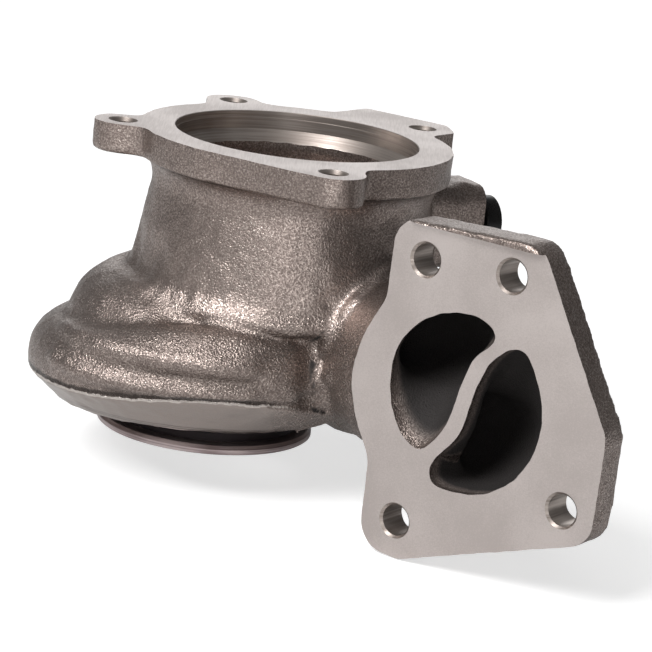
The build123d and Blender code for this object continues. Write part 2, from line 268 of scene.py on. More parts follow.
@dataclass(frozen=True)
class CastSkinFinish:
    """Sand-cast iron: speckled brown-grey skin, smoother band under the parting line."""

    dark: Colour = srgb(116, 104, 99)
    light: Colour = srgb(160, 147, 140)
    spark: Colour = srgb(206, 195, 187)
    band: Colour = srgb(152, 143, 138)
    # painted highlight of the thin lip under the parting line
    painted_lip_highlight: Colour = srgb(206, 198, 192)
    # dark colour of the witness lines, and of the painted shade in creases and hollows
    seam_and_painted_shade: Colour = srgb(38, 33, 31)
    # painted shade: near black on the port walls
    painted_port_shade: Colour = srgb(34, 30, 29)
    # heights of the witness lines on the band, and depth of the grain, in metres
    witness: Pair = (0.0083, 0.0090)
    depth: float = 0.00042

    def build(self, effects: Effects, places: NodeTree) -> Material:
        """Make the material.

        Args:
            effects: Shared node groups.
            places: Group that tells where shade is painted: on the port walls and in the crease
                under the outlet flange.

        Returns:
            The material.
        """
        material, sheet, shader, place = new_material("cast_iron")
        grain = sheet.group(effects.group(Effect.GRAIN), place)
        where = sheet.group(places, place)
        shade = grain["Shade"]
        x, y, z = sheet.node("ShaderNodeSeparateXYZ", place).outputs

        torn = sheet.ramp(sheet.noise(place, 330.0), 0.3, 0.7, -0.22, 0.22)
        over = sheet.math("ADD", sheet.attribute("over_parting"), torn)
        # towards the duct in front, the parting line runs out in the grain
        run = sheet.math("MAXIMUM", sheet.ramp(x, 0.016, 0.031, 1.0, 0.0),
                         sheet.math("GREATER_THAN", y, 0.0))
        below = sheet.product(run, sheet.ramp(over, -0.35, -0.15, 1.0, 0.0))
        # painted highlight on the thin lip just under the parting line
        painted_lip_highlight = sheet.product(run, sheet.product(sheet.ramp(over, -0.75, -0.45),
                                                 sheet.ramp(over, -0.05, 0.15, 1.0, 0.0)))
        # painted shade in the crease just above the parting lip
        seam_and_painted_shade = sheet.product(run, sheet.product(sheet.ramp(over, 0.05, 0.25),
                                                sheet.ramp(over, 1.0, 2.0, 1.0, 0.0)))
        # painted shade on the port walls, which also turns them matte
        port_shade_share = sheet.product(where["PortShade"], sheet.attribute("gas_side"))

        skin = sheet.blend(shade, self.dark, self.light)
        skin = sheet.blend(grain["Spark"], skin, self.spark)
        patches = sheet.ramp(sheet.noise(place, 42.0, 3.0), 0.35, 0.70, 0.90, 1.06)
        tint = sheet.node("ShaderNodeVectorMath", skin, operation="SCALE")
        sheet.feed(patches, tint.inputs["Scale"])
        smooth = sheet.blend(sheet.ramp(shade, 0.0, 1.0, 0.0, 0.5), self.band, self.light)
        skin = sheet.blend(below, tint.outputs[0], smooth)
        for level in self.witness:
            line = sheet.math("ABSOLUTE", sheet.math("SUBTRACT", z, level))
            line = sheet.product(sheet.ramp(line, 0.0001, 0.0003, 0.4, 0.0), below)
            skin = sheet.blend(line, skin, self.seam_and_painted_shade)
        skin = sheet.blend(painted_lip_highlight, skin, self.painted_lip_highlight)
        # painted shade: darker in the crease above the parting lip, in the crease under the outlet
        # flange and along the feet of the hollows
        for mask, strength in ((seam_and_painted_shade, 0.8), (where["FlangeShade"], 0.75),
                               (sheet.attribute("hollow"), 0.45)):
            skin = sheet.blend(sheet.product(mask, strength), skin, self.seam_and_painted_shade)
        skin = sheet.blend(port_shade_share, skin, self.painted_port_shade)
        sheet.feed(skin, shader.inputs["Base Color"])

        # the grain is coarser on the scroll than on the neck
        coarse = sheet.ramp(z, 0.040, 0.050, 1.0, 0.45)
        rough = sheet.mix(below, sheet.ramp(shade, 0.0, 1.0, 0.48, 0.34), 0.40)
        rough = sheet.math("SUBTRACT", rough, sheet.product(coarse, 0.11))
        sheet.feed(sheet.mix(port_shade_share, rough, 0.8), shader.inputs["Roughness"])
        sheet.feed(sheet.mix(port_shade_share, 0.88, 0.1), shader.inputs["Metallic"])
        relief = sheet.product(grain["Height"], sheet.mix(below, coarse, 0.22))
        sheet.feed(sheet.bump(relief, self.depth), shader.inputs["Normal"])
        return material


@dataclass(frozen=True)
class MetalFinish:
    """Metal with tool marks.

    The marks shade from colour to second over the range spread of their value, and from the
    first roughness to the second over the range 0.3 to 0.7.
    """

    name: str
    colour: Colour
    second: Colour
    roughness: Pair
    marks: Effect = Effect.MILLED
    metallic: float = 1.0
    spread: Pair = (0.45, 0.75)
    depth: float = 0.00002

    def build(self, effects: Effects) -> Material:
        """Make the material.

        Args:
            effects: Shared node groups.

        Returns:
            The material.
        """
        material, sheet, shader, place = new_material(self.name)
        marks = sheet.group(effects.group(self.marks), place)
        shade = marks["Shade"]
        sheet.feed(sheet.blend(sheet.ramp(shade, *self.spread), self.colour, self.second),
                   shader.inputs["Base Color"])
        sheet.feed(sheet.ramp(shade, 0.3, 0.7, *self.roughness), shader.inputs["Roughness"])
        shader.inputs["Metallic"].default_value = self.metallic
        sheet.feed(sheet.bump(marks["Height"], self.depth), shader.inputs["Normal"])
        return material


@dataclass(frozen=True)
class Frame:
    """A place with three directions: x and y across, z along."""

    origin: np.ndarray
    x: np.ndarray
    y: np.ndarray
    z: np.ndarray

    @classmethod
    def upright(cls, origin: Sequence[float] = (0.0, 0.0, 0.0)) -> "Frame":
        """Frame at an origin with its directions along the world's."""
        return cls(np.array(origin), *np.eye(3))

    def world(self, points: np.ndarray) -> np.ndarray:
        """Points given along the three directions, in world millimetres."""
        return self.origin + points @ np.stack([self.x, self.y, self.z])

    def local(self, points: np.ndarray) -> np.ndarray:
        """World points in millimetres, told along the three directions."""
        return (points - self.origin) @ np.stack([self.x, self.y, self.z]).T


@dataclass
class Shell:
    """A closed surface held in arrays: points in millimetres and faces of three or four."""

    points: np.ndarray
    quads: np.ndarray

    @classmethod
    def turned(cls, profile: Sequence[Pair], frame: Frame, steps: int = 96) -> "Shell":
        """Surface of revolution of a closed profile.

        P(i, j) = O + r_i (cos t_j X + sin t_j Y) + h_i Z, with t_j = 2 pi j / steps.

        Args:
            profile: Corners (radius, height) in order, the last joined to the first.
            frame: Foot of the axis and its directions.
            steps: Number of steps round the axis.

        Returns:
            The shell.
        """
        r, h = np.array(profile, float).T
        turn = 2 * np.pi * np.arange(steps) / steps
        grid = np.stack([np.outer(r, np.cos(turn)), np.outer(r, np.sin(turn)),
                         np.repeat(h[:, None], steps, 1)], -1).reshape(-1, 3)
        i, j = np.meshgrid(np.arange(len(r)), np.arange(steps), indexing="ij")
        k, n = (i + 1) % len(r), (j + 1) % steps
        quads = np.stack([i * steps + j, i * steps + n, k * steps + n, k * steps + j], -1)
        return cls(frame.world(grid), quads.reshape(-1, 4))

    @classmethod
    def slab(cls, low: Triple, high: Triple, frame: Frame) -> "Shell":
        """Box between two corners given in a frame.

        Args:
            low: Lowest corner.
            high: Highest corner.
            frame: Frame of the corners.

        Returns:
            The shell.
        """
        pick = np.array([[a, b, c] for a in (0, 1) for b in (0, 1) for c in (0, 1)])
        corners = np.where(pick == 0, np.array(low), np.array(high)).astype(float)
        quads = np.array([(0, 1, 3, 2), (4, 6, 7, 5), (0, 4, 5, 1), (2, 3, 7, 6),
                          (0, 2, 6, 4), (1, 5, 7, 3)])
        return cls(frame.world(corners), quads)


def unit(rows: np.ndarray) -> np.ndarray:
    """Rows scaled to length 1."""
    return rows / np.linalg.norm(rows, axis=1)[:, None]


def sampled(path: Sequence[Triple], count: int) -> np.ndarray:
    """Points at even steps of the point number along a path.

    Args:
        path: Points of the path.
        count: Number of points to give.

    Returns:
        The points, one row each.
    """
    given = np.array(path, float)
    s = np.linspace(0, len(given) - 1, count)
    return np.stack([np.interp(s, np.arange(len(given)), given[:, k]) for k in range(3)], 1)


def swept(path: Sequence[Triple], radius: float, steps: int = 14, cuts: int = 6) -> Shell:
    """Round rib along a path, running out to a point at both ends.

    P(i, j) = C_i + R_i (cos t_j N_i + sin t_j B_i), with R_i = R sqrt(1 - (2 i / n - 1)^4).

    Args:
        path: Points in millimetres that the rib follows.
        radius: Radius R of the rib.
        steps: Number of steps round the rib.
        cuts: Sections from one path point to the next.

    Returns:
        The shell.
    """
    line = sampled(path, cuts * (len(path) - 1) + 1)
    for _ in range(cuts):
        line[1:-1] = (line[:-2] + 2 * line[1:-1] + line[2:]) / 4
    along = unit(np.gradient(line, axis=0))
    side = unit(np.cross(along, [0.0, 0.0, 1.0]))
    up = np.cross(side, along)
    size = radius * np.sqrt(np.clip(1 - np.linspace(-1, 1, len(line)) ** 4, 0, 1))
    turn = 2 * np.pi * np.arange(steps) / steps
    ring = (np.cos(turn)[None, :, None] * side[:, None]
            + np.sin(turn)[None, :, None] * up[:, None])
    points = line[:, None] + size[:, None, None] * ring
    i, j = np.meshgrid(np.arange(len(line) - 1), np.arange(steps), indexing="ij")
    n = (j + 1) % steps
    quads = np.stack([i * steps + j, i * steps + n, (i + 1) * steps + n, (i + 1) * steps + j], -1)
    return Shell(points.reshape(-1, 3), quads.reshape(-1, 4))


def prism(outline: Sequence[Pair], low: float, high: float) -> Shell:
    """Upright prism over a convex outline, closed by fans round the middle of each end.

    Args:
        outline: Corners (x, y) in order.
        low: Height of the lower end.
        high: Height of the upper end.

    Returns:
        The shell, its end triangles given as quads with a repeated corner.
    """
    flat = np.array(outline, float)
    n = len(flat)
    rings = [np.column_stack([flat, np.full(n, h)]) for h in (low, high)]
    mids = [np.append(flat.mean(0), h)[None] for h in (low, high)]
    i = np.arange(n)
    k = (i + 1) % n
    walls = np.stack([i, k, n + k, n + i], 1)
    ends = [np.stack([i + at, k + at, np.full(n, mid), np.full(n, mid)], 1)
            for at, mid in ((0, 2 * n), (n, 2 * n + 1))]
    return Shell(np.concatenate([*rings, *mids]), np.concatenate([walls, *ends]))


def show(name: str, data: bpy.types.ID) -> Object:
    """Object made of the given data and linked to the scene."""
    made = bpy.data.objects.new(name, data)
    bpy.context.scene.collection.objects.link(made)
    return made


def build_object(name: str, shells: Sequence[tuple[Shell, int]],
                 finishes: Sequence[Material]) -> Object:
    """Put shells into one object, each with its material number.

    Args:
        name: Name of the object.
        shells: Shells and their material numbers.
        finishes: Materials in the order of their numbers.

    Returns:
        The object, linked to the scene, with merged poles and faces that point outwards.
    """
    points = np.concatenate([s.points for s, _ in shells]) * MM
    starts = np.cumsum([0] + [len(s.points) for s, _ in shells[:-1]])
    faces = np.concatenate([s.quads + at for (s, _), at in zip(shells, starts)])
    slots = np.concatenate([np.full(len(s.quads), number) for s, number in shells])
    mesh = bpy.data.meshes.new(name)
    mesh.from_pydata(points.tolist(), [], faces.tolist())
    for finish in finishes:
        mesh.materials.append(finish)
    mesh.polygons.foreach_set("material_index", slots.astype(np.int32))
    work = bmesh.new()
    work.from_mesh(mesh)
    bmesh.ops.remove_doubles(work, verts=work.verts, dist=1e-6)
    bmesh.ops.recalc_face_normals(work, faces=work.faces)
    work.to_mesh(mesh)
    work.free()
    return show(name, mesh)


def settle(piece: Object) -> None:
    """Apply the modifiers of an object to its mesh.

    Args:
        piece: Object that changes.
    """
    graph = bpy.context.evaluated_depsgraph_get()
    done = bpy.data.meshes.new_from_object(piece.evaluated_get(graph))
    piece.modifiers.clear()
    spent, piece.data = piece.data, done
    bpy.data.meshes.remove(spent)


def carve(piece: Object, tool: Object, adds: bool = False) -> None:
    """Cut a tool out of a piece, or join it to the piece, and remove the tool.

    Args:
        piece: Piece that changes.
        tool: Closed shell of the tool.
        adds: Whether the tool is joined instead of cut out.
    """
    step = piece.modifiers.new("carve", "BOOLEAN")
    step.operation = "UNION" if adds else "DIFFERENCE"
    step.solver = "MANIFOLD"
    step.material_mode = "INDEX"
    step.object = tool
    before = len(piece.data.polygons)
    settle(piece)
    log.info("%s with %s: %d to %d faces", piece.name, tool.name, before,
             len(piece.data.polygons))
    mesh = tool.data
    bpy.data.objects.remove(tool)
    bpy.data.meshes.remove(mesh)


def read(items: bpy.types.bpy_prop_collection, name: str, kind: type,
         width: int = 1) -> np.ndarray:
    """Read one property of every item of a mesh.

    Args:
        items: Vertices, edges, loops, faces or vertex normals.
        name: Property.
        kind: Number type that Blender holds it in.
        width: Numbers in one item.

    Returns:
        One number for each item, or one row where an item has several.
    """
    flat = np.empty(len(items) * width, kind)
    items.foreach_get(name, flat)
    return flat if width == 1 else flat.reshape(-1, width)


def mark_borders(mesh: Mesh, angle: float) -> None:
    """Shade smooth, with sharp edges at steep angles and where two finishes meet.

    Args:
        mesh: Mesh to mark.
        angle: Angle in degrees from which an edge is sharp.
    """
    mesh.polygons.foreach_set("use_smooth", np.ones(len(mesh.polygons), bool))
    mesh.set_sharp_from_angle(angle=math.radians(angle))
    edge = read(mesh.loops, "edge_index", np.int32)
    total = read(mesh.polygons, "loop_total", np.int32)
    slot = read(mesh.polygons, "material_index", np.int32)
    per_loop = np.repeat(slot, total)
    least = np.full(len(mesh.edges), 99)
    most = np.full(len(mesh.edges), -1)
    np.minimum.at(least, edge, per_loop)
    np.maximum.at(most, edge, per_loop)
    sharp = read(mesh.edges, "use_edge_sharp", bool)
    mesh.edges.foreach_set("use_edge_sharp", sharp | (least != most))
    mesh.update()


def points_of(mesh: Mesh) -> np.ndarray:
    """Vertex places of a mesh in millimetres."""
    return read(mesh.vertices, "co", np.float32, 3).astype(float) / MM


def normals_of(mesh: Mesh) -> np.ndarray:
    """Vertex normals of a mesh."""
    return read(mesh.vertex_normals, "vector", np.float32, 3).astype(float)


def set_points(mesh: Mesh, points: np.ndarray) -> None:
    """Write vertex places in millimetres to a mesh."""
    mesh.vertices.foreach_set("co", (points * MM).astype(np.float32).ravel())
    mesh.update()


class Web:
    """The edges of a mesh, for means over the neighbours of each vertex."""

    def __init__(self, mesh: Mesh) -> None:
        """Read the edges of the mesh."""
        self.a, self.b = read(mesh.edges, "vertices", np.int32, 2).T
        self.size = len(mesh.vertices)
        ends = np.concatenate([self.a, self.b])
        self.count = np.bincount(ends, minlength=self.size)[:, None]

    def mean(self, values: np.ndarray) -> np.ndarray:
        """Mean of the neighbours.

        Args:
            values: Three values for each vertex.

        Returns:
            Three means for each vertex.
        """
        total = [np.bincount(self.a, values[self.b, k], self.size)
                 + np.bincount(self.b, values[self.a, k], self.size) for k in range(3)]
        return np.stack(total, 1) / self.count


@dataclass(frozen=True)
class Stroke:
    """A hollow or a swelling of the cast skin along a path.

    A point at distance d from the path moves by h exp(-(d / w)^2) along its normal.
    """

    path: tuple[Triple, ...]
    height: float
    width: float
    fade: float = 5.0

    def share(self, points: np.ndarray, width: float) -> np.ndarray:
        """Bell curve exp(-(d / w)^2) of the distance to the path, fading out at both ends.

        Args:
            points: Points in millimetres.
            width: Width w in millimetres.

        Returns:
            One value for each point, 1 on the path.
        """
        line = sampled(self.path, 8 * (len(self.path) - 1) + 1)
        reach = 2.6 * width
        near = np.all((points > line.min(0) - reach) & (points < line.max(0) + reach), axis=1)
        out = np.zeros(len(points))
        far = np.linalg.norm(points[near][:, None] - line[None], axis=2)
        closest = far.argmin(1)
        run = np.append(0, np.linalg.norm(np.diff(line, axis=0), axis=1).cumsum())
        ends = np.minimum(run, run[-1] - run) / self.fade
        fade = np.sin(np.clip(ends, 0.0, 1.0) * math.pi / 2) ** 2
        out[near] = np.exp(-(far.min(1) / width) ** 2) * fade[closest]
        return out

    def move(self, points: np.ndarray) -> np.ndarray:
        """Signed move along the normal for each point, in millimetres."""
        return self.height * self.share(points, self.width)

    def painted_shade_line(self) -> "Stroke":
        """Find the line along the foot of a hollow, where shade is painted dark.

        Returns:
            A stroke along that line.
        """
        shift = 0.7 * self.height
        line = tuple((x, y - shift, z + shift) for x, y, z in self.path)
        return Stroke(line, self.height, self.width + 0.4, self.fade)


class Face(IntEnum):
    """Kinds of surface on the casting, in the order of its materials."""

    CAST = 0
    MILLED = 1
    TURNED = 2
    LIP = 3
    # near-black turned iron: painted shade in the clamp groove
    SHADED_GROOVE = 4


@dataclass
class Casting:
    """The turbine housing: stock left for machining, rounded cast skin, and the cuts."""

    outlet_centre: Pair = (18.5, 8.0)
    outlet_top: float = 89.5
    outlet_bore: float = 36.5
    stud_circle: float = 52.0
    stud_angles: tuple[float, ...] = (187.2, 114.9, -76.5, 43.5)
    inlet_origin: Pair = (77.0, -75.0)
    inlet_turn: float = -35.0
    inlet_holes: tuple[Pair, ...] = ((-22.4, 72.0), (5.9, 73.8), (-22.2, -3.9), (30.8, 14.0))
    inlet_hole_r: float = 4.5
    # middle line of the duct, from the inlet face into the scroll
    duct_line: tuple[Triple, ...] = (
        (73.3, -72.4, 35.0), (75.6, -69.1, 35.0), (75.6, -58.0, 34.6), (70.5, -47.0, 34.0),
        (63.5, -35.0, 33.0), (55.0, -24.0, 32.0), (43.5, -6.0, 28.5))
    port_reach: Pair = (18.0, 28.0)
    port_depth: float = -40.0
    pivot: Triple = (31.5, 10.5, 64.0)
    pivot_turn: float = 30.0
    boss_end: float = 47.0
    clamp_r: float = 34.0
    clamp_z: float = 7.0
    stock: float = 2.4
    voxel: float = 0.75
    # shares k of the smoothing, and the reach of the places that it spares
    hollow_k: float = 0.5
    ridge_k: float = 0.1
    spared: float = 2.6
    shoulder: tuple[Triple, ...] = (
        (51.5, -22.0, 61.5), (49.2, -24.2, 59.2), (47.0, -26.0, 56.8), (44.9, -28.3, 54.4),
        (43.0, -31.4, 52.0), (41.0, -33.8, 49.4), (39.4, -35.0, 46.5), (37.9, -35.4, 43.4),
        (36.4, -35.2, 40.2), (34.6, -34.4, 37.2), (32.6, -35.0, 34.2))
    stub: Triple = (36.8, -37.3, 29.8)
    rib_size: float = 3.0
    roll_size: float = 2.3
    roll_r: float = 46.3
    roll_z: float = 42.4
    # radius about the outlet and height of the corners under the neck roll and the flange
    roll_corner: Pair = (45.7, 39.8)
    ledge: Pair = (45.9, 80.4)
    # height of the crease under the outlet flange, where shade is painted, and its inner and outer
    # reach
    crease_z: float = 80.2
    crease_reach: Pair = (43.0, 47.6)
    neck_foot: tuple[Triple, ...] = (
        (-23.0, 3.0, 48.5), (-22.5, -8.0, 46.5), (-21.5, -15.0, 45.5), (-20.5, -21.0, 43.5),
        (-20.0, -26.0, 41.8))
    strokes: tuple[Stroke, ...] = (
        # corner under the roll at the foot of the neck
        Stroke(((-17.8, -29.8, 40.4), (-10.8, -33.6, 39.7), (-4.2, -35.4, 39.6),
                (2.7, -38.0, 39.5), (9.2, -39.2, 39.4), (15.1, -39.3, 39.2),
                (20.6, -38.6, 38.8), (25.8, -36.8, 38.4)), -1.0, 1.8, 7.0),
        # swelling above the valley, the valley, and the swelling under it
        Stroke(((-45.0, -14.0, 30.0), (-39.5, -28.0, 30.6), (-28.2, -40.5, 31.2),
                (-15.6, -47.0, 31.4), (-2.4, -49.5, 31.3), (4.5, -49.2, 31.0),
                (10.5, -48.1, 30.8), (19.0, -45.0, 31.0)), 1.5, 3.0, 9.0),
        Stroke(((-46.0, -17.0, 27.6), (-40.2, -29.5, 27.3), (-30.5, -41.0, 26.8),
                (-14.8, -48.6, 26.7), (-1.9, -49.9, 26.7), (10.9, -48.2, 26.4),
                (20.2, -44.9, 27.0)), -1.5, 1.7, 9.0),
        Stroke(((-47.5, -24.0, 22.6), (-36.0, -37.9, 22.4), (-26.6, -44.2, 22.3),
                (-14.5, -47.8, 22.4), (-1.6, -48.3, 22.4), (11.1, -46.8, 22.7),
                (20.1, -43.0, 23.4)), 1.9, 2.4, 9.0),
        # hollow between the scrolls and the duct
        Stroke(((26.0, -35.5, 36.8), (28.3, -36.2, 35.1), (29.7, -37.5, 32.6),
                (30.4, -38.6, 29.4), (30.2, -39.1, 25.9), (30.5, -38.0, 22.5)), -1.5, 3.6, 6.0),
        Stroke(((26.9, -40.6, 22.0), (31.5, -36.5, 20.5), (36.0, -34.0, 20.5)), -2.2, 2.8),
        # end of the rib, with its bright edge
        Stroke(((34.6, -34.9, 30.1), (36.4, -36.6, 28.6), (38.2, -38.2, 26.6)), 1.2, 2.0),
        Stroke(((36.8, -35.2, 24.6), (39.0, -37.4, 23.4)), -1.2, 1.6),
        # crown of the boss
        Stroke(((66.0, 27.6, 77.0), (70.5, 26.6, 77.0), (74.2, 25.6, 76.2)), 0.9, 2.6))
    foot_outline: tuple[Pair, ...] = (
        (31.6, -14.0), (28.0, -22.2), (35.8, -22.0), (41.2, -22.7), (46.9, -19.5), (49.7, -12.0),
        (44.0, -9.0))
    faces: int = 165_000
    # bulge of the lower scroll: angle, centre radius and height, size, parting angle
    bulge: tuple[tuple[float, ...], ...] = (
        (-12, 47.5, 19.0, 15.4, -15), (90, 45.0, 18.6, 13.9, -10), (180, 42.8, 17.3, 12.2, -14),
        (225, 40.6, 22.8, 12.0, -36), (270, 38.4, 29.6, 11.4, -54), (300, 38.0, 28.4, 11.2, -54),
        (342, 39.0, 21.0, 11.8, -46))

    def outlet(self) -> Frame:
        """Frame of the outlet, with its origin in the milled top face."""
        return Frame.upright((*self.outlet_centre, self.outlet_top))

    def inlet(self) -> Frame:
        """Frame of the inlet: x along the flange, y up, z out of the milled face."""
        a = math.radians(self.inlet_turn)
        return Frame(np.array([*self.inlet_origin, 0.0]),
                     np.array([math.cos(a), math.sin(a), 0.0]), np.array([0.0, 0.0, 1.0]),
                     np.array([math.sin(a), -math.cos(a), 0.0]))

    def spindle(self) -> Frame:
        """Frame of the wastegate axis: x to the front, y up, z along the spindle."""
        a = math.radians(self.pivot_turn)
        return Frame(np.array(self.pivot), np.array([math.sin(a), -math.cos(a), 0.0]),
                     np.array([0.0, 0.0, 1.0]), np.array([math.cos(a), math.sin(a), 0.0]))

    def studs(self) -> list[Frame]:
        """Frames of the four threaded holes in the top face."""
        turn = np.radians(self.stud_angles)
        at = np.stack([np.cos(turn), np.sin(turn), 0 * turn], 1) * self.stud_circle
        return [Frame.upright(self.outlet().origin + p) for p in at]

    def bolt_holes(self) -> list[Frame]:
        """Frames of the four holes in the inlet flange."""
        face = self.inlet()
        return [Frame(face.world(np.array([u, z, 0.0])), face.x, face.y, face.z)
                for u, z in self.inlet_holes]

    def parting(self, points: np.ndarray) -> tuple[np.ndarray, np.ndarray]:
        """Distance to the parting line of the lower scroll, and height above it.

        At angle t the line is at radius R + a cos p and height H + a sin p of the bulge table.

        Args:
            points: Points in millimetres.

        Returns:
            Distance and height above the line, for each point.
        """
        x, y, z = points.T
        turn = (np.degrees(np.arctan2(y, x)) + 12.0) % 360.0 - 12.0
        angle, radius, height, size, split = np.array(self.bulge).T
        p = np.radians(np.interp(turn, angle, split))
        a = np.interp(turn, angle, size)
        line_r = np.interp(turn, angle, radius) + a * np.cos(p)
        line_z = np.interp(turn, angle, height) + a * np.sin(p)
        return np.hypot(np.hypot(x, y) - line_r, z - line_z), z - line_z

    def neck_roll(self, drop: float = 2.2) -> np.ndarray:
        """Points along the roll at the foot of the neck, on the camera side.

        Args:
            drop: How far the roll sinks over its last 32 degrees, towards the duct.

        Returns:
            The points in millimetres.
        """
        turn = np.radians(np.linspace(-150.0, -80.0, 36))
        at = np.stack([np.cos(turn), np.sin(turn)], 1) * self.roll_r + self.outlet_centre
        sink = (turn + math.radians(112.0)) / math.radians(32.0)
        drop = drop * np.clip(sink, 0.0, 1.0) ** 2
        return np.column_stack([at, self.roll_z - drop])

    def lumps(self) -> list[Shell]:
        """Cast details on the skin: neck roll, rib over the duct shoulder, stub, foot."""
        ball = [(0, -3.2), (1.7, -2.8), (2.9, -1.4), (3.2, 0), (2.9, 1.4), (1.7, 2.8), (0, 3.2)]
        return [swept(self.neck_roll(), self.roll_size), swept(self.shoulder, self.rib_size),
                Shell.turned(ball, Frame.upright(self.stub), 16),
                prism(self.foot_outline, self.clamp_z - 1.4, self.clamp_z + 6.0)]

    def leave_stock(self, mesh: Mesh) -> None:
        """Add metal where the casting is cut later.

        The flat faces move outwards, and the walls of the bores and holes move to their axes.

        Args:
            mesh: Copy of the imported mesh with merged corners.
        """
        p = points_of(mesh)
        face, spindle, top = self.inlet(), self.spindle(), self.outlet()
        # axis, radius, lowest and highest place on the axis, and share of the radius kept
        for frame, radius, low, high, share in (
                [(s, 3.6, -20.0, 1.0, 0.6) for s in self.studs()]
                + [(b, 4.7, -11.0, 1.0, 0.6) for b in self.bolt_holes()]
                + [(spindle, 6.7, 24.0, self.boss_end + 1.0, 0.7),
                   (top, self.outlet_bore + 0.2, -8.6, 0.2, 0.926),
                   (top, 35.2, -11.1, -8.4, 0.962),
                   (Frame.upright(), 26.2, -0.5, 56.2, 0.95)]):
            q = frame.local(p)
            wall = (np.hypot(q[:, 0], q[:, 1]) < radius) & (q[:, 2] > low) & (q[:, 2] < high)
            if frame is top:
                wall &= np.hypot(q[:, 0], q[:, 1]) > radius - 0.5
            q[wall, :2] *= share
            p[wall] = frame.world(q[wall])
        p[p[:, 2] > self.outlet_top - 0.05, 2] += self.stock
        q = face.local(p)
        p[(q[:, 2] > -0.05) & (q[:, 0] > -43.0)] += self.stock * face.z
        q = spindle.local(p)
        end = (np.abs(q[:, 2] - self.boss_end) < 0.05) & (np.hypot(q[:, 0], q[:, 1]) < 18.0)
        p[end] += self.stock * spindle.z
        set_points(mesh, p)

    def soften(self, mesh: Mesh, rounds: int = 40) -> None:
        """Round the skin as sand casting does: wide fillets inside, small radii outside.

        Each round moves a vertex by k (mean of its neighbours - itself), with hollow_k in
        hollows and on the left foot of the neck, ridge_k on ridges, and less beside the
        parting line, the corner under the neck roll, the ledge and the rib.

        Args:
            mesh: Quad mesh to smooth.
            rounds: Number of rounds.
        """
        p = points_of(mesh)
        web = Web(mesh)
        near, _ = self.parting(p)
        out_r = np.hypot(*self.outlet().local(p)[:, :2].T)
        foot = Stroke(self.neck_foot, 1.0, 6.0).share(p, 6.0)
        ridge = self.ridge_k + (self.hollow_k - self.ridge_k) * foot
        ledge = np.hypot(out_r - self.ledge[0], p[:, 2] - self.ledge[1])
        rib = np.linalg.norm(p[:, None] - np.array(self.shoulder)[None], axis=2).min(1) * 0.6
        corner = np.hypot(out_r - self.roll_corner[0], p[:, 2] - self.roll_corner[1]) * 0.8
        corner[p[:, 0] < -17.0] = 99.0  # no roll there
        keep = np.minimum(np.minimum(near, corner), np.minimum(ledge, rib))
        weight = 1.0 - 0.9 * np.exp(-(keep / self.spared) ** 2)
        for _ in range(rounds):
            set_points(mesh, p)
            move = web.mean(p) - p
            hollow = (move * normals_of(mesh)).sum(1) > 0
            p += move * (np.where(hollow, self.hollow_k, ridge) * weight)[:, None]
        set_points(mesh, p)

    def detail(self, mesh: Mesh, evened: int = 16, eased: int = 5) -> None:
        """Work the strokes into the skin, along evened normals, and ease them afterwards.

        Args:
            mesh: Mesh to move.
            evened: Rounds of evening the normals.
            eased: Rounds of easing the strokes.
        """
        p = points_of(mesh)
        web = Web(mesh)
        normal = normals_of(mesh)
        for _ in range(evened):
            normal = unit(normal + web.mean(normal))
        p += normal * sum(stroke.move(p) for stroke in self.strokes)[:, None]
        worked = np.clip(sum(stroke.share(p, stroke.width + 1.0) for stroke in self.strokes), 0, 1)
        for _ in range(eased):
            p += (web.mean(p) - p) * (0.5 * worked)[:, None]
        set_points(mesh, p)

    def ripple(self, mesh: Mesh, waves: int = 40, size: float = 0.07) -> None:
        """Make the skin slightly uneven, as a sand mould leaves it.

        The normal move is h = s / sqrt(n / 2) sum sin(k_i . p + f_i), with wave lengths from
        3 to 11 mm in seeded directions.

        Args:
            mesh: Mesh to move.
            waves: Number n of plane waves.
            size: Size s of the move.
        """
        p = points_of(mesh)
        random = np.random.default_rng(11)
        way = unit(random.normal(size=(waves, 3)))
        length = random.uniform(3.0, 11.0, waves)
        phase = random.uniform(0.0, 2 * np.pi, waves)
        wave = np.sin(p @ (way * (2 * np.pi / length)[:, None]).T + phase).sum(1)
        set_points(mesh, p + normals_of(mesh) * (size * wave / math.sqrt(waves / 2))[:, None])

    def thread(self, minor: float = 3.4, major: float = 4.0, pitch: float = 1.25,
               depth: float = 14.0, rim: float = 4.4) -> list[Pair]:
        """Profile of a countersunk threaded hole.

        Args:
            minor: Core radius.
            major: Outer radius of the thread.
            pitch: Distance from turn to turn.
            depth: Depth of the full thread.
            rim: Radius of the countersink in the face.

        Returns:
            Corners (radius, height), with height 0 in the face.
        """
        turns = int(depth / pitch) - 1
        zigzag = [(r, -(rim - minor) - pitch * (i + s))
                  for i in range(turns) for r, s in ((minor, 0.1), (major, 0.6))]
        return [(0.0, 3.0), (rim, 3.0), (rim, 0.0), *zigzag, (minor, -depth), (0.0, -depth - 2)]

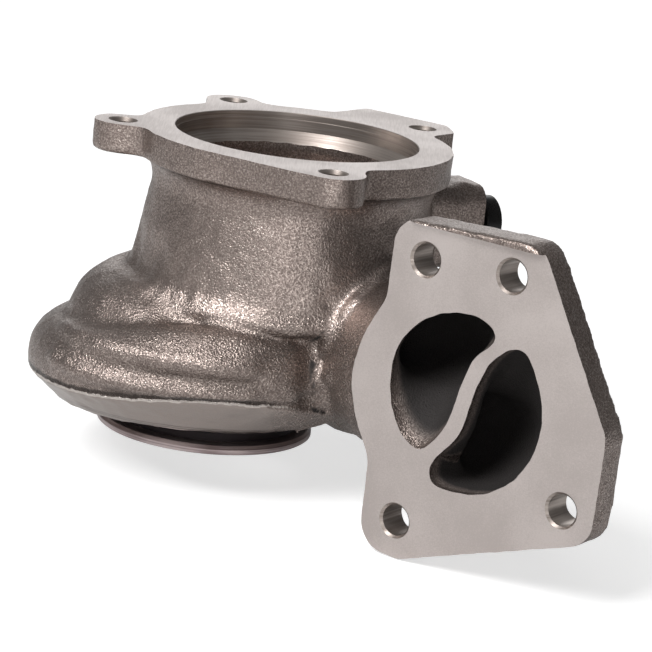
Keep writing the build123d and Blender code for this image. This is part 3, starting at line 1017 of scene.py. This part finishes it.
    def machine(self, piece: Object, finishes: list[Material]) -> None:
        """Mill the faces, turn the clamp lip, and bore the holes.

        Args:
            piece: Rounded casting with stock.
            finishes: Materials in the order of Face.
        """
        face, spindle, top, axis = self.inlet(), self.spindle(), self.outlet(), Frame.upright()
        end, r, z = self.boss_end, self.clamp_r, self.clamp_z
        carve(piece, build_object("face_mills", [
            (Shell.slab((-90, -90, 0), (90, 90, 5), top), Face.MILLED),
            (Shell.slab((-42.5, -22, 0), (64, 82, 5), face), Face.MILLED),
            (Shell.slab((-12.5, -15, end), (12.5, 14.4, end + 5), spindle), Face.MILLED),
            (Shell.turned([(0, -4), (r, -4), (r, z), (0, z)], axis), Face.SHADED_GROOVE)], finishes))
        lip = [(24.5, 0), (32.1, 0), (32.5, 0.3), (32.5, 1.6), (31.6, 2.6), (28.9, 3.1),
               (24.5, 3.1)]
        groove = [(24.5, 2.0), (28.8, 2.0), (28.8, 8.2), (24.5, 8.2)]
        for name, outline, kind in (("clamp_lip", lip, Face.LIP),
                                    ("clamp_groove", groove, Face.SHADED_GROOVE)):
            carve(piece, build_object(name, [(Shell.turned(outline, axis, 128), kind)],
                                      finishes), adds=True)
        bore = self.outlet_bore
        counter = [(0, 4), (bore + 0.2, 4), (bore + 0.2, 0), (bore, -0.2), (bore, -2.0),
                   (bore - 0.1, -2.1), (bore - 0.1, -5.6), (33.8, -8.9), (31.6, -12.0), (0, -12.0)]
        wheel = [(0, -4), (26.5, -4), (26.5, -0.02), (26, 0.5), (26, 9), (24, 9), (24, 23.5),
                 (21, 34), (21, 50), (23, 56), (0, 56)]
        r = self.inlet_hole_r
        bolt = [(0, 3), (r + 0.7, 3), (r + 0.7, 0), (r, -0.7), (r, -30), (0, -30)]
        bush = [(0, 24), (6.52, 24), (6.52, end + 3), (0, end + 3)]
        bores = [Shell.turned(counter, top, 128), Shell.turned(wheel, axis, 128),
                 Shell.turned(bush, spindle, 48),
                 *(Shell.turned(self.thread(), stud, 40) for stud in self.studs()),
                 *(Shell.turned(bolt, hole, 40) for hole in self.bolt_holes())]
        carve(piece, build_object("bores", [(b, Face.TURNED) for b in bores], finishes))

    def shape(self, finishes: list[Material]) -> Object:
        """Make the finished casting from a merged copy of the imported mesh.

        Args:
            finishes: Materials in the order of Face.

        Returns:
            The new piece.
        """
        mesh = bpy.data.objects["turbine_housing"].data.copy()
        work = bmesh.new()
        work.from_mesh(mesh)
        bmesh.ops.remove_doubles(work, verts=work.verts, dist=2e-6)
        work.to_mesh(mesh)
        self.leave_stock(mesh)
        work.clear()
        work.from_mesh(mesh)
        added = build_object("cast_details", [(lump, Face.CAST) for lump in self.lumps()], [])
        work.from_mesh(added.data)
        bpy.data.meshes.remove(added.data)
        work.to_mesh(mesh)
        work.free()
        mesh.materials.clear()
        piece = show("housing_casting", mesh)
        step = piece.modifiers.new("skin", "REMESH")
        step.mode, step.voxel_size = "VOXEL", self.voxel * MM
        settle(piece)
        self.soften(piece.data)
        self.detail(piece.data)
        self.ripple(piece.data)
        thin = piece.modifiers.new("thin", "DECIMATE")
        thin.ratio = min(1.0, self.faces / (2 * len(piece.data.polygons)))
        settle(piece)
        for finish in finishes:
            piece.data.materials.append(finish)
        self.machine(piece, finishes)
        return piece

    def places(self) -> NodeTree:
        """Group that tells by object coordinates where shade is painted on the casting.

        The first output grows from 0 at the inlet face to 1 behind it, and the piece's attribute
        gas_side limits it to the port walls, where shade is painted.  The second output is the
        line of painted shade under the outlet flange.

        Returns:
            The group.
        """
        sheet, place, end = new_group("finish_places", ("PortShade", "FlangeShade"))
        face = self.inlet()
        # painted shade in the ports grows from the inlet face inwards
        depth = sheet.node("ShaderNodeVectorMath", place, tuple(face.z), operation="DOT_PRODUCT")
        depth = sheet.math("SUBTRACT", depth.outputs["Value"], float(face.z @ face.origin) * MM)
        sheet.feed(sheet.ramp(depth, -0.0005, -0.006), end.inputs["PortShade"])
        x, y, z = sheet.node("ShaderNodeSeparateXYZ", place).outputs
        dx, dy = (sheet.math("SUBTRACT", a, c * MM) for a, c in zip((x, y), self.outlet_centre))
        reach = sheet.math("SQRT", sheet.math("ADD", sheet.product(dx, dx), sheet.product(dy, dy)))
        # painted shade in a thin line under the outlet flange
        low, high = self.crease_reach
        ring = sheet.product(sheet.math("GREATER_THAN", reach, low * MM),
                             sheet.math("LESS_THAN", reach, high * MM))
        line = sheet.math("ABSOLUTE", sheet.math("SUBTRACT", z, self.crease_z * MM))
        flange_shade = sheet.product(sheet.ramp(line, 0.0001, 0.00045, 1.0, 0.0), ring)
        sheet.feed(flange_shade, end.inputs["FlangeShade"])
        return sheet.tree

    def gas_side(self, mesh: Mesh) -> np.ndarray:
        """Tell the walls of the two ports from the outside of the duct.

        A wall vertex is within the first port_reach of the duct's middle line, or within the
        second with its normal turned towards the line.

        Args:
            mesh: The finished casting.

        Returns:
            1 on the port walls and 0 elsewhere, for each vertex.
        """
        p = points_of(mesh)
        line = sampled(self.duct_line, 40)
        depth = self.inlet().local(p)[:, 2]
        out = np.zeros(len(p), np.float32)
        near = np.flatnonzero((depth > self.port_depth) & (depth < -0.3) & (p[:, 0] > 30.0))
        away = p[near][:, None] - line[None]
        far = np.linalg.norm(away, axis=2)
        k = far.argmin(1)
        reach = far.min(1)
        lean = (away[np.arange(len(k)), k] * normals_of(mesh)[near]).sum(1)
        lean /= np.maximum(reach, 1e-6)
        inner, outer = self.port_reach
        out[near] = (reach < inner) | ((reach < outer) & (lean < 0.2))
        return out

    def dress(self, effects: Effects) -> Object:
        """Shape the casting and give it its finishes.

        Args:
            effects: Shared node groups.

        Returns:
            The shown piece.
        """
        # share of metal, spread of the second colour and depth of the marks on worked iron
        iron = (0.85, (0.35, 0.65), 0.000012)
        cuts = (MetalFinish("milled_iron", srgb(196, 187, 183), srgb(180, 171, 167),
                            (0.34, 0.44), Effect.MILLED, *iron),
                MetalFinish("turned_iron", srgb(178, 168, 161), srgb(136, 126, 120),
                            (0.30, 0.42), Effect.TURNED, *iron),
                MetalFinish("clamp_iron", srgb(184, 170, 169), srgb(124, 110, 110),
                            (0.30, 0.40), Effect.TURNED, *iron),
                # painted shade: the clamp groove and the cut wall round it are near black
                MetalFinish("groove_painted_shade", srgb(40, 34, 35), srgb(26, 22, 23),
                            (0.45, 0.55), Effect.TURNED, *iron))
        piece = self.shape([CastSkinFinish().build(effects, self.places()),
                            *(cut.build(effects) for cut in cuts)])
        mesh = piece.data
        mark_borders(mesh, 34.0)
        p = points_of(mesh)
        near, above = self.parting(p)
        # the lower scroll, outside the clamp groove
        skin = (np.hypot(p[:, 0], p[:, 1]) > 33.9) & (p[:, 2] < 26.0) & (near < 24.0)
        # painted shade along the feet of the hollows, kept in the attribute hollow
        dark = sum(np.clip(-s.height / 2.6, 0, 1) * s.painted_shade_line().share(p, s.width + 0.4)
                   for s in self.strokes if s.height < 0)
        for name, values in (("over_parting", np.where(skin, above, 9.0)),
                             ("gas_side", self.gas_side(mesh)),
                             ("hollow", np.clip(dark, 0, 1))):
            held = mesh.attributes.new(name, "FLOAT", "POINT")
            held.data.foreach_set("value", values.astype(np.float32))
        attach(piece, "housing")
        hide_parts("turbine_housing")
        return piece


@dataclass
class Wastegate:
    """Bush, spindle, flap, washer, outer lever and rod pin."""

    ground: MetalFinish = MetalFinish("ground_steel", srgb(205, 200, 194), srgb(180, 174, 168),
                                      (0.18, 0.32))
    heat: MetalFinish = MetalFinish("heat_steel", srgb(150, 144, 138), srgb(122, 116, 112),
                                    (0.30, 0.44))
    black: MetalFinish = MetalFinish("black_oxide", srgb(20, 19, 19), srgb(38, 36, 35),
                                     (0.24, 0.38), metallic=0.3)

    def dress(self, effects: Effects) -> list[Object]:
        """Give each piece its finish.

        Args:
            effects: Shared node groups.

        Returns:
            The shown pieces.
        """
        ground, heat, black = (f.build(effects) for f in (self.ground, self.heat, self.black))
        shown = []
        for node, finish, slot in (
                ("wastegate_bush", ground, "bush_steel"),
                ("wastegate_spindle", ground, "spindle_steel"),
                ("wastegate_flap", heat, "flap_steel"), ("flap_washer", heat, "flap_steel"),
                ("wastegate_lever", black, "lever_black"), ("lever_pin", ground, "spindle_steel")):
            piece = bpy.data.objects[node]
            piece.data.materials.clear()
            piece.data.materials.append(finish)
            shown.append(piece)
        return shown


@dataclass
class Studio:
    """White sweep, soft lights and the camera at the photograph's angle."""

    focal: float = 160.2
    distance: float = 869.8
    elevation: float = 14.24
    roll: float = 6.52
    target: Triple = (33.4, 0.0, 34.3)
    # in metres and watts: what the lamps point at, and each one's name, place, side and power
    aim: Triple = (0.035, 0.0, 0.04)
    lamps: tuple[tuple[str, Triple, float, float], ...] = (
        ("key", (-0.66, -0.9, 1.1), 0.7, 29.0), ("fill", (0.15, -1.45, 0.3), 0.6, 5.0),
        ("top", (-0.25, -0.2, 1.5), 0.7, 3.0), ("back", (0.0, 1.5, 0.5), 0.9, 2.6))
    floor_z: float = -15.0

    def camera(self) -> None:
        """Place the camera: it looks along +Y and down, turned about its own axis."""
        e, r = math.radians(self.elevation), math.radians(self.roll)
        forward = Vector((0.0, math.cos(e), -math.sin(e)))
        right = Vector((1.0, 0.0, 0.0))
        up = right.cross(forward)
        x_axis = math.cos(r) * right + math.sin(r) * up
        y_axis = -math.sin(r) * right + math.cos(r) * up
        data = bpy.data.cameras.new("camera")
        data.lens = self.focal
        data.sensor_width = 36.0
        data.clip_start, data.clip_end = 0.05, 20.0
        cam = show("camera", data)
        turn = Matrix((x_axis, y_axis, -forward)).transposed().to_4x4()
        place = Vector(self.target) * MM - forward * self.distance * MM
        cam.matrix_world = Matrix.Translation(place) @ turn
        bpy.context.scene.camera = cam

    def lamp(self, name: str, place: Triple, size: float, watts: float) -> None:
        """Add a soft square lamp that points at the middle of the object.

        Args:
            name: Name of the lamp.
            place: Position in metres.
            size: Side length in metres.
            watts: Power.
        """
        data = bpy.data.lights.new(name, "AREA")
        data.size = size
        data.energy = watts
        lamp = show(name, data)
        lamp.location = place
        aim = Vector(self.aim) - Vector(place)
        lamp.rotation_mode = "QUATERNION"
        lamp.rotation_quaternion = aim.to_track_quat("-Z", "Y")

    def white(self) -> Material:
        """Floor material that the camera and mirrors see as near white, with soft shadows.

        Away from the object, where the lamps light the floor less, it shines a little more.

        Returns:
            The material.
        """
        material, sheet, shader, place = new_material("white_sweep")
        shader.inputs["Base Color"].default_value = (0.62, 0.62, 0.62, 1.0)
        shader.inputs["Roughness"].default_value = 0.9
        path = sheet.node("ShaderNodeLightPath")
        seen = sheet.math("MAXIMUM", path.outputs["Is Camera Ray"],
                          sheet.product(path.outputs["Is Glossy Ray"], 0.15))
        seen = sheet.math("MAXIMUM", seen, path.outputs["Is Transmission Ray"])
        shader.inputs["Emission Color"].default_value = (1.0, 1.0, 1.0, 1.0)
        away = sheet.node("ShaderNodeVectorMath", place, operation="LENGTH")
        glow = sheet.ramp(away.outputs["Value"], 0.4, 2.2, 0.62, 0.95)
        sheet.feed(sheet.product(seen, glow), shader.inputs["Emission Strength"])
        return material

    def build(self) -> None:
        """Make the sweep, the world, the lamps and the camera."""
        # floor from 3 m in front to a wall 3 m behind, joined by a quarter circle of 0.8 m
        steps = np.linspace(0.0, math.pi / 2, 13)
        depth = np.concatenate([[-3.0], 2.2 + 0.8 * np.sin(steps), [3.0]])
        height = np.concatenate([[0.0], 0.8 - 0.8 * np.cos(steps), [3.2]])
        across, depth = np.meshgrid([-3.5, 3.5], depth)
        height = np.repeat(height[:, None] + self.floor_z * MM, 2, 1)
        points = np.stack([across, depth, height], -1).reshape(-1, 3)
        rows = len(depth)
        quads = [(2 * i, 2 * i + 1, 2 * i + 3, 2 * i + 2) for i in range(rows - 1)]
        mesh = bpy.data.meshes.new("sweep")
        mesh.from_pydata(points.tolist(), [], quads)
        mesh.materials.append(self.white())
        show("sweep", mesh)

        world = bpy.data.worlds.new("studio")
        bpy.context.scene.world = world
        world.use_nodes = True
        sky = Sheet(world.node_tree)
        back = world.node_tree.nodes["Background"]
        back.inputs["Color"].default_value = (1.0, 1.0, 1.0, 1.0)
        path = sky.node("ShaderNodeLightPath")
        sky.feed(sky.mix(path.outputs["Is Camera Ray"], 0.11, 1.0), back.inputs["Strength"])
        for lamp in self.lamps:
            self.lamp(*lamp)
        self.camera()


def main() -> None:
    """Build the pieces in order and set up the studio."""
    logging.basicConfig(level=logging.INFO, format="%(name)s: %(message)s")
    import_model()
    bpy.context.scene.view_settings.view_transform = "Standard"
    effects = Effects()
    pieces = [Casting().dress(effects), *Wastegate().dress(effects)]
    for piece in pieces:
        log.info("%s: %d faces", piece.name, len(piece.data.polygons))
    Studio().build()


if __name__ == "__main__":
    main()
